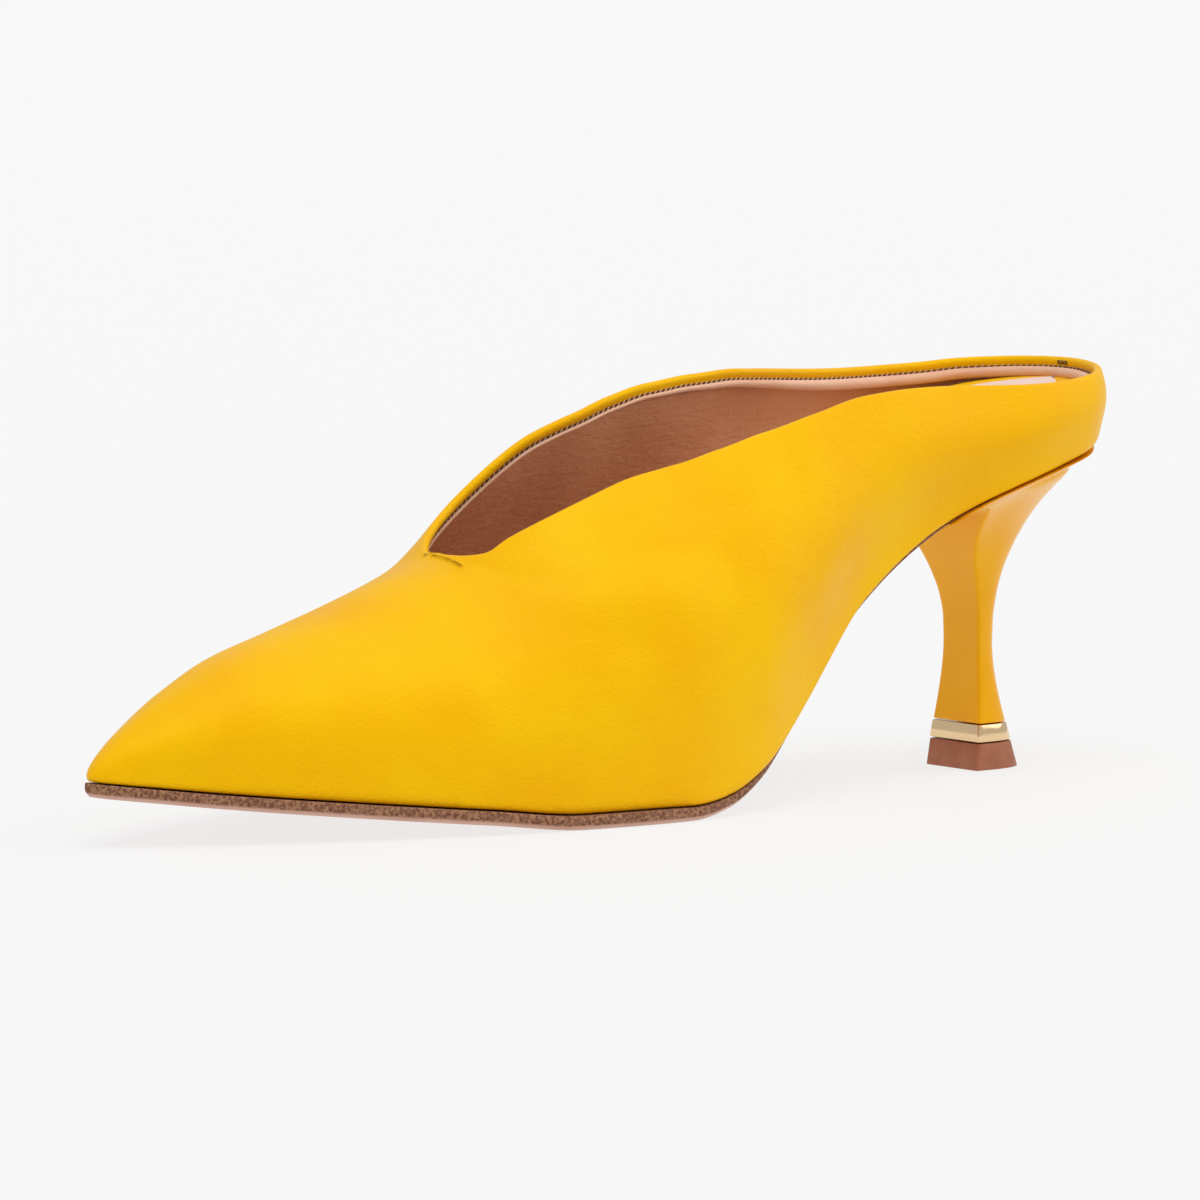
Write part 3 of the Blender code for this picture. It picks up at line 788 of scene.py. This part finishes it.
seam = []
for height in np.linspace(BACK_FROM, BACK_TO, BACK_STITCHES):
    path = []
    for t in np.linspace(-1, 1, 7):
        proud = BACK_BOW * math.cos(math.pi / 2 * t) - BACK_SUNK
        path.append(back_point(height + BACK_SLANT * t, BACK_REACH * t, proud))
    seam.append(thread(np.array(path), BACK_THREAD))
tack_line = rim(0.0008, WALL)
tack_along = unit(tack_line[1] - tack_line[-1])
for shift_by in (-TACK_PITCH, 0.0, TACK_PITCH):
    for lean in (-1, 1):
        ways = np.linspace(-1, 1, 6)[:, None]
        path = tack_line[0] + tack_along * shift_by + ways * (
            0.00045 * lean * tack_along + 0.0005 * edge_up[0]
        ) - edge_out[0] * (0.0001 + 0.0001 * (1 - ways**2))
        seam.append(thread(path, BACK_THREAD * 0.7))
back_seam = new_piece("back_seam_stitches", seam)
waxed = Finish("brown_waxed_thread", THREAD_BROWN, 0.55)
waxed.relief(waxed.noise(0.0004), 0.00006, 0.5)
waxed.cover(back_seam)
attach(back_seam, "root")


# Outsole
# A thin plate of pinkish sole leather, cut to the last's bottom, bevelled below and cemented on.
# Its raw edge is brown and fibrous, and its grain side underneath is smooth.

SOLE_EDGE = 0.0013
SOLE_BEVEL = 0.0010
BREAST = 0.196
SKIVED_FROM = 0.186  # from here back the sole is pared thinner
SOLE_END = 0.208  # the sole runs on between the heel and the seat, and thins away there
SKIVED = 0.96  # share of its thickness that is pared off at its end
# How far the edge stands out, along the shoe: past the upper at the ball, in under it behind.
EDGE_OUT = curve(
    (0, 0.10, 0.25, 0.42, 0.52, 0.60, 0.70, 0.78, 1),
    (0.20, 0.55, 1, 1, 0, -1, -1, -0.75, -0.75),
)
SOLE_STATIONS = 200
SOLE_PINK = (0.560, 0.300, 0.215)
SOLE_PALE = (0.640, 0.380, 0.290)
EDGE_BROWN = (0.150, 0.052, 0.020)
EDGE_TAN = (0.400, 0.190, 0.095)


def across(share, side):
    """Unit vectors from the feather edge inwards, square to the edge."""
    before, after = np.maximum(share - PROBE, 0.0), np.minimum(share + PROBE, 1.0)
    along = unit(feather(after, side) - feather(before, side))
    turned = -SIDES[side] * np.stack([-along[..., 1], along[..., 0]], axis=-1)
    turned[share <= 0.0] = (1.0, 0.0)
    turned[share >= 1.0] = (-1.0, 0.0)
    return turned


def sole_thickness(share):
    """Thickness of the visible sole, which thins under the leather's edge and past the breast."""
    tail = ease((share * LAST_LENGTH - SKIVED_FROM) / (SOLE_END - SKIVED_FROM))
    return (thickness(share) - dip(share)) * (1 - SKIVED * tail)


def sole_under(share):
    """Height of the sole's underside over the floor."""
    return seat(share) - CLEARANCE - sole_thickness(share)


sole_shares = stations(SOLE_STATIONS)
sole_shares = np.append(sole_shares[sole_shares < SOLE_END / LAST_LENGTH - 0.002], SOLE_END / LAST_LENGTH)
EDGE_PROFILE = (  # height as a share of the thickness, and how far in as a share of the bevel
    (0.00, 1.35), (0.03, 0.95), (0.16, 0.55), (0.33, 0.22), (0.46, 0.05),
    (0.55, 0.00), (0.80, 0.00), (0.93, 0.03), (1.00, 0.14),
)
SOLE_INFILL = 10  # rows from the edge to the middle


def sole_rows(side):
    """Rows of the sole from the middle of its underside round its edge to the middle above."""
    under, thick = sole_under(sole_shares), sole_thickness(sole_shares)
    line, inwards = feather(sole_shares, side), across(sole_shares, side)
    edge = []
    for up, inset in EDGE_PROFILE:
        spot = line - inwards * (EDGE_OUT(sole_shares) * SOLE_EDGE - inset * SOLE_BEVEL)[:, None]
        edge.append(np.concatenate([spot, (under + up * thick)[:, None]], axis=1))
    middle_y = (feather(sole_shares, "outer")[:, 1] + feather(sole_shares, "inner")[:, 1]) / 2
    rows = []
    for first, order in ((edge[0], 1), (edge[-1], -1)):
        centre = np.stack([first[:, 0], middle_y, first[:, 2]], axis=1)
        fill = [centre + (first - centre) * t for t in np.linspace(0, 1, SOLE_INFILL)[:-1]]
        rows.append(fill[::order])
    return np.stack(rows[0] + edge + rows[1], axis=1)


sole_sides = [sole_rows(side) for side in SIDES]
end_caps = []
for rows in sole_sides:
    half = rows.shape[1] // 2 + 1
    end_caps.append(np.stack([rows[-1, :half], rows[-1, ::-1][:half]], axis=1))
outsole = new_piece("outsole_leather", sole_sides + end_caps, flip=(0, 2))

tanned = Finish("sole_leather_finish", SOLE_PINK, 0.42)
upness = tanned.node("SeparateXYZ", Vector=tanned.node("NewGeometry").outputs["Normal"]).outputs["Z"]
mottle = tanned.noise(0.010, detail=4.0)
smooth_face = tanned.blend(tanned.spread(mottle, 0.3, 0.7), SOLE_PINK, SOLE_PALE)
speck = tanned.noise(0.0007, detail=3.0, rough=0.7)
fibres = tanned.blend(tanned.spread(speck, 0.42, 0.60), EDGE_BROWN, EDGE_TAN)
on_edge = tanned.spread(upness, -0.62, -0.42)
tanned.colour(tanned.blend(on_edge, smooth_face, fibres))
tanned.rough(tanned.spread(on_edge, 0.0, 1.0, 0.38, 0.75))
tanned.relief(tanned.sums(speck, on_edge, "MULTIPLY"), 0.0004, 0.8)
tanned.cover(outsole)
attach(outsole, "root")
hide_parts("outsole")


# Footbed and sock
# The insole board is covered in the upper's yellow leather, with padding under the heel. A pale
# sock of soft leather is glued over it and leaves a narrow yellow margin.

INSOLE_THICKNESS = 0.0020
INSOLE_INSET = 0.0028
HEEL_PAD = 0.0060  # padding under the heel, between these shares of the length
PAD_FROM = 0.66
PAD_TO = 0.92
BED_ROUND = 0.0009
BED_ROWS = 14
BED_PROBES = 161  # heights at which the wall beside the footbed is looked for
SOCK = 0.0005
SOCK_MARGIN = 0.0046
SOCK_BACK = 0.0050  # how much further from the edge it ends at the back
SOCK_BACK_FROM = 0.88
SOCK_PINK = (0.830, 0.590, 0.510)
SOCK_PALE = (0.890, 0.690, 0.610)


def lift(share, height):
    """Height over the seat, plumb, of something that lies that high square to its slope."""
    step = 0.01
    before, after = np.maximum(share - step, 0.0), np.minimum(share + step, 1.0)
    slope = (board(after) - board(before)) / ((after - before) * LAST_LENGTH)
    return board(share) + height * np.hypot(1.0, slope)


def insole_top(share):
    """Height of the footbed's upper face over the seat, square to its slope."""
    u = ease((share - PAD_FROM) / (PAD_TO - PAD_FROM))
    return WALL + CLEARANCE + INSOLE_THICKNESS + HEEL_PAD * u


def bed_edge(share, side):
    """The footbed's outline, clear of the wall beside its upper face."""
    foot, inwards, reach = column(share, side)
    top = lift(share, insole_top(share))
    ups = np.linspace(0, 1, BED_PROBES)
    rows = last_point(share[:, None] + 0 * ups, side, ups + 0 * share[:, None])
    beside = rows[np.arange(len(share)), np.argmax(rows[..., 2] >= top[:, None], axis=1)]
    lean = np.maximum(np.sum((beside[:, :2] - foot) * inwards, axis=1), 0.0)
    return foot + inwards * np.minimum(lean + INSOLE_INSET, reach)[:, None]


def bed_rows(side, inset, lower, upper_face, rounded):
    """Rows of a plate on the footbed, from its underside round its edge to its middle above."""
    line = bed_edge(shares, side)
    mid = np.stack([line[:, 0], section_of["shift"](line[:, 0] / LAST_LENGTH) * BALL_WIDTH], axis=1)
    room = np.maximum(np.linalg.norm(mid - line, axis=1), 1e-9)
    inward = (mid - line) / room[:, None]

    def row(far_in, height_of):
        return lifted(line + inward * far_in[:, None], height_of)

    made = [row(np.minimum(inset, room), lambda at: lift(at, lower(at)))]
    for turned in np.linspace(0, math.pi / 2, 5):

        def shoulder(at, turned=turned):
            high = lift(at, upper_face(at) - rounded)
            return high + (lift(at, upper_face(at)) - high) * math.sin(turned)

        made.append(row(np.minimum(inset + rounded * (1 - math.cos(turned)), room), shoulder))
    start = np.minimum(inset + rounded, room)
    for t in np.linspace(0, 1, BED_ROWS)[1:]:
        made.append(row(start + (room - start) * t, lambda at: lift(at, upper_face(at))))
    return np.stack(made, axis=1)


def under_bed(share):
    """Height of the footbed's underside, on the turned-under leather."""
    return WALL + CLEARANCE + 0 * share


bed_sides = [bed_rows(side, 0.0, under_bed, insole_top, BED_ROUND) for side in SIDES]
footbed = new_piece("footbed", bed_sides, flip=(1,))
calf.cover(footbed)
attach(footbed, "root")
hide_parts("insole")

sock_margin = SOCK_MARGIN + SOCK_BACK * ease((shares - SOCK_BACK_FROM) / (1 - SOCK_BACK_FROM))
under_sock, over_sock = (lambda at: insole_top(at) - SOCK), (lambda at: insole_top(at) + SOCK)
sock_sides = [bed_rows(side, sock_margin, under_sock, over_sock, SOCK / 2) for side in SIDES]
sock = new_piece("sock", sock_sides, flip=(1,))
suede = Finish("pale_sock_leather", SOCK_PINK, 0.60)
suede.drift(0.015, SOCK_PINK, SOCK_PALE)
suede.relief(suede.cells(0.0005, 0.6), 0.00005, 0.5)
suede.cover(sock)
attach(sock, "root")


# Heel
# A moulded block, waisted and with a flat breast, wrapped in thin yellow leather that is polished
# to a gloss. It is nailed to the seat from inside, and its rim follows the seat's outline.

HEEL_GAP = 0.0001  # under the sole and the seat
SEAT_TUCK = 0.0016  # how far the heel's rim is tucked in under the upper
TUCK_FROM = 0.55  # share of the height, from the neck to the seat, at which that begins
NECK_HEIGHT = 0.0265
NECK_LENGTH = 0.0058
NECK_WIDTH = 0.0116
NECK_SET_IN = 0.0231  # from the back of the last to the back of the neck
TIP_LENGTH = 0.0148
TIP_WIDTH = 0.0165
TIP_HEIGHT = 0.0055
BAND_HEIGHT = 0.0036
HEEL_SQUARE = 0.65  # under 1 its sections are squarer than a half circle
BREAST_ROUND = 0.0007  # radius of the corners beside the breast
HEEL_CORNERS = 50  # degrees from which an edge looks sharp
HEEL_ROWS = 46
LIP_FROM = 0.84  # share of the height from which the rows are closer, for the lip under the sole
LIP_ROWS = 48
LIP_OUT = 0.0003  # how far the lip stands out under the leather
LIP_STARTS = 0.85
LIP_FULL = 0.93
FOOT_ROWS = 16
BACK_POINTS = 44
# How far the heel has spread from the neck to the seat, at shares of its height.
FLARE = {
    "up": (0, 0.13, 0.25, 0.39, 0.53, 0.65, 0.77, 0.88, 0.95, 1),
    "back": (0, 0.010, 0.040, 0.102, 0.205, 0.318, 0.458, 0.628, 0.780, 1),
    "width": (0, 0.006, 0.028, 0.080, 0.168, 0.292, 0.475, 0.690, 0.840, 1),
}
# The breast: a steep flat face, a tight cove over it and a thin lip that runs forward to the sole.
COVE = {
    "up": (0, 0.13, 0.25, 0.39, 0.53, 0.65, 0.77, 0.84, 0.88, 0.905, 0.925, 0.938, 0.946, 0.951, 1),
    "breast": (0, 0.004, 0.028, 0.086, 0.160, 0.230, 0.290, 0.325, 0.365, 0.430, 0.560, 0.740, 0.900,
               0.990, 1),
}
HEEL_YELLOW = (0.930, 0.450, 0.001)
HEEL_DEEP = (0.900, 0.410, 0.001)
flare_of = curves(FLARE, "up") | curves(COVE, "up")
quarter = np.linspace(0, math.pi / 2, BACK_POINTS + 1)
heel_ways, heel_rounds = np.sin(quarter) ** HEEL_SQUARE, np.maximum(np.cos(quarter), 0) ** HEEL_SQUARE


def seat_shape(way, side):
    """The seat's own outline as shares of its greatest half width, and that width."""
    start = (BREAST + CLEARANCE) / LAST_LENGTH
    widest = half_width_of[side](turn(start + (1 - start) * np.linspace(0, 1, 21))).max()
    return half_width_of[side](turn(start + (1 - start) * way)) / widest, widest


def heel_section(up, side):
    """Half a heel section, from the middle of the breast round to the back."""

    def height_at(along):
        return NECK_HEIGHT + (sole_under(along / LAST_LENGTH) - HEEL_GAP - NECK_HEIGHT) * up

    tuck = SEAT_TUCK * ease((up - TUCK_FROM) / (1 - TUCK_FROM))
    back = LAST_LENGTH - NECK_SET_IN * (1 - flare_of["back"](up)) - tuck
    neck_breast = LAST_LENGTH - NECK_SET_IN - NECK_LENGTH
    breast = neck_breast + (BREAST + CLEARANCE - neck_breast) * flare_of["breast"](up)
    seat_width, widest = seat_shape(heel_ways, side)
    width = NECK_WIDTH / 2 + (widest - NECK_WIDTH / 2) * flare_of["width"](up)
    width += LIP_OUT * ease((up - LIP_STARTS) / (LIP_FULL - LIP_STARTS))
    shape = heel_rounds + (seat_width - heel_rounds) * up * up
    along = breast + (back - breast) * heel_ways
    points = np.stack([along, SIDES[side] * width * shape, height_at(along)], axis=1)
    return rounded_breast(points, height_at)


def rounded_breast(points, height_at):
    """The half section with a rounded corner beside the breast, joined across to the middle."""
    corner = points[0]
    after = points[1:][np.linalg.norm(points[1:, :2] - corner[:2], axis=1) > BREAST_ROUND * 1.2]
    lead = (after[0] - corner) / np.linalg.norm(after[0, :2] - corner[:2])
    start = corner.copy()
    start[1] -= math.copysign(BREAST_ROUND, corner[1])
    end = corner + lead * BREAST_ROUND
    turned = [(1 - t) ** 2 * start + 2 * t * (1 - t) * corner + t * t * end for t in np.linspace(0, 1, 6)]
    across_breast = [np.array([corner[0], start[1] * t, 0.0]) for t in np.linspace(0, 1, 7)[:-1]]
    rest = resample(np.array([end] + list(after)), BACK_POINTS - 1)
    rows = np.array(across_breast + turned + list(rest[1:]))
    rows[:, 2] = height_at(rows[:, 0])
    return rows


def resample(points, count):
    """The same line with evenly spread points."""
    along = np.concatenate([[0], np.cumsum(np.linalg.norm(np.diff(points, axis=0), axis=1))])
    at = np.linspace(0, along[-1], count)
    return np.stack([np.interp(at, along, points[:, k]) for k in range(3)], axis=1)


def foot_section(height, side, proud=0.0):
    """Half a level section between the neck and the floor, where the heel spreads again."""
    u = (NECK_HEIGHT - height) / NECK_HEIGHT
    spread = u * u * (3 - u) / 2
    set_in = NECK_SET_IN + (TIP_SET_IN - NECK_SET_IN) * spread - proud
    length = NECK_LENGTH + (TIP_LENGTH - NECK_LENGTH) * spread + 2 * proud
    width = NECK_WIDTH + (TIP_WIDTH - NECK_WIDTH) * u * u * (3 - 2 * u) + 2 * proud
    along = LAST_LENGTH - set_in - length * (1 - heel_ways)
    sideways = SIDES[side] * width / 2 * heel_rounds
    points = np.stack([along, sideways, np.full_like(along, height)], axis=1)
    return rounded_breast(points, lambda x: np.full_like(np.asarray(x, float), height))


def capped(rows):
    """Rows of half sections with both ends closed to a point inside."""
    return np.stack([rows[0] * (1, 0, 1)] + rows + [rows[-1] * (1, 0, 1)])


band_top = TIP_HEIGHT + BAND_HEIGHT + 2 * CLEARANCE
heel_halves = []
for side in SIDES:
    rows = [foot_section(h, side) for h in np.linspace(band_top, NECK_HEIGHT, FOOT_ROWS)[:-1]]
    ups = [np.linspace(0, LIP_FROM, HEEL_ROWS + 1)[:-1], np.linspace(LIP_FROM, 1, LIP_ROWS + 1)]
    rows += [heel_section(up, side) for up in np.concatenate(ups)]
    heel_halves.append(capped(rows))
heel = new_piece("heel_cover", heel_halves, flip=(0,), corners=HEEL_CORNERS)

gloss = {"Coat_Weight": 0.12, "Coat_Roughness": 0.12, "Coat_Tint": (1.0, 0.90, 0.55, 1.0)}
gloss |= {"IOR": 1.42, "Specular_Tint": (1.0, 0.82, 0.18, 1.0)}
wrap = Finish("polished_heel_cover", HEEL_YELLOW, 0.20, **gloss)
wrap.drift(0.020, HEEL_DEEP, HEEL_YELLOW, 0.35, 0.65, 2.0)
wrap.relief(wrap.noise(0.004), 0.00012, 0.35)
wrap.relief(wrap.noise(0.0004), 0.00002, 0.3)
wrap.cover(heel)
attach(heel, "root")
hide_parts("heel")


# Heel band
# A thin ring of pale gold metal round the foot of the heel, polished, pressed on under the cover.

BAND_PROUD = 0.00012
BAND_EDGE = 0.00025  # how far its edges are eased
GOLD = (0.850, 0.620, 0.360)


def ring_rows(low, high, edge, side, proud=0.0):
    """Half sections of a short block whose upper and lower edges are eased."""
    eased = ((0.0, 1.0), (0.3, 0.3), (1.0, 0.0))  # up from the edge and in from the face
    rows = [foot_section(low + edge * up, side, proud - edge * back) for up, back in eased]
    rows += [foot_section(high - edge * up, side, proud - edge * back) for up, back in eased[::-1]]
    return capped(rows)


band_low = TIP_HEIGHT + CLEARANCE
band_halves = [ring_rows(band_low, band_low + BAND_HEIGHT, BAND_EDGE, side, BAND_PROUD) for side in SIDES]
band = new_piece("gold_band", band_halves, flip=(0,), corners=HEEL_CORNERS)
metal = Finish("polished_pale_gold", GOLD, 0.12, Metallic=1.0)
metal.rough(metal.spread(metal.noise(0.002, detail=3.0), 0.3, 0.7, 0.08, 0.20))
metal.relief(metal.noise(0.003), 0.00008, 0.4)
metal.cover(band)
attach(band, "root")
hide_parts("heel_band")


# Heel tip
# The top piece that the heel stands on: hard brown rubber, moulded, pinned up into the block.

TIP_EDGE = 0.00022
TIP_BROWN = (0.330, 0.095, 0.034)
TIP_TAN = (0.400, 0.135, 0.055)

tip_halves = [ring_rows(0.0, TIP_HEIGHT, TIP_EDGE, side) for side in SIDES]
tip = new_piece("rubber_tip", tip_halves, flip=(0,), corners=HEEL_CORNERS)
rubber = Finish("brown_rubber_tip", TIP_BROWN, 0.48)
rubber.drift(0.004, TIP_BROWN, TIP_TAN, 0.35, 0.7, 4.0)
rubber.relief(rubber.noise(0.0008, detail=4.0, rough=0.65), 0.00012, 0.5)
rubber.cover(tip)
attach(tip, "root")
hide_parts("heel_tip")


# Floor, light and camera
# A pale matt table, a white studio round it and two broad soft lamps above.

FLOOR_SIZE = 12.0
FLOOR_GREY = (0.15, 0.15, 0.15)
FLOOR_GLOW = 0.755  # the table is opal, and lit from below as well
CAMERA_AROUND = math.radians(38)  # from the outer side towards the toe
CAMERA_UP = math.radians(5.7)
CAMERA_AWAY = 1.8
LENS = 270.0
AIM = Vector((0.0, 0.0, 0.0405))

bpy.ops.mesh.primitive_plane_add(size=FLOOR_SIZE)
floor = bpy.context.object
floor.name = "floor"
matt = Finish("pale_floor", FLOOR_GREY, 0.9, Specular_IOR_Level=0.1, Emission_Strength=FLOOR_GLOW)
matt.cover(floor)

world = bpy.data.worlds.new("studio")
world.use_nodes = True
sky = world.node_tree.nodes["Background"]
sky.inputs["Color"].default_value = (1.0, 1.0, 1.0, 1.0)
sky.inputs["Strength"].default_value = 0.60
bpy.context.scene.world = world
bpy.context.scene.view_settings.view_transform = "Standard"


def soft_lamp(name, strength, spread, direction):
    """A broad lamp far away, shining from that direction."""
    data = bpy.data.lights.new(name, "SUN")
    data.energy = strength
    data.angle = math.radians(spread)
    lamp = bpy.data.objects.new(name, data)
    bpy.context.scene.collection.objects.link(lamp)
    lamp.rotation_euler = Vector(direction).to_track_quat("Z", "Y").to_euler()


soft_lamp("key_light", 1.25, 40, (-0.2, -0.3, 1.0))
soft_lamp("side_light", 0.60, 50, (0.75, -0.4, 0.6))

view = bpy.data.cameras.new("camera")
view.lens = LENS
view.clip_end = 50.0
camera = bpy.data.objects.new("camera", view)
bpy.context.scene.collection.objects.link(camera)
level = math.cos(CAMERA_UP)
towards = Vector(
    (-math.sin(CAMERA_AROUND) * level, -math.cos(CAMERA_AROUND) * level, math.sin(CAMERA_UP))
)
camera.location = AIM + towards * CAMERA_AWAY
camera.rotation_euler = towards.to_track_quat("Z", "Y").to_euler()
bpy.context.scene.camera = camera
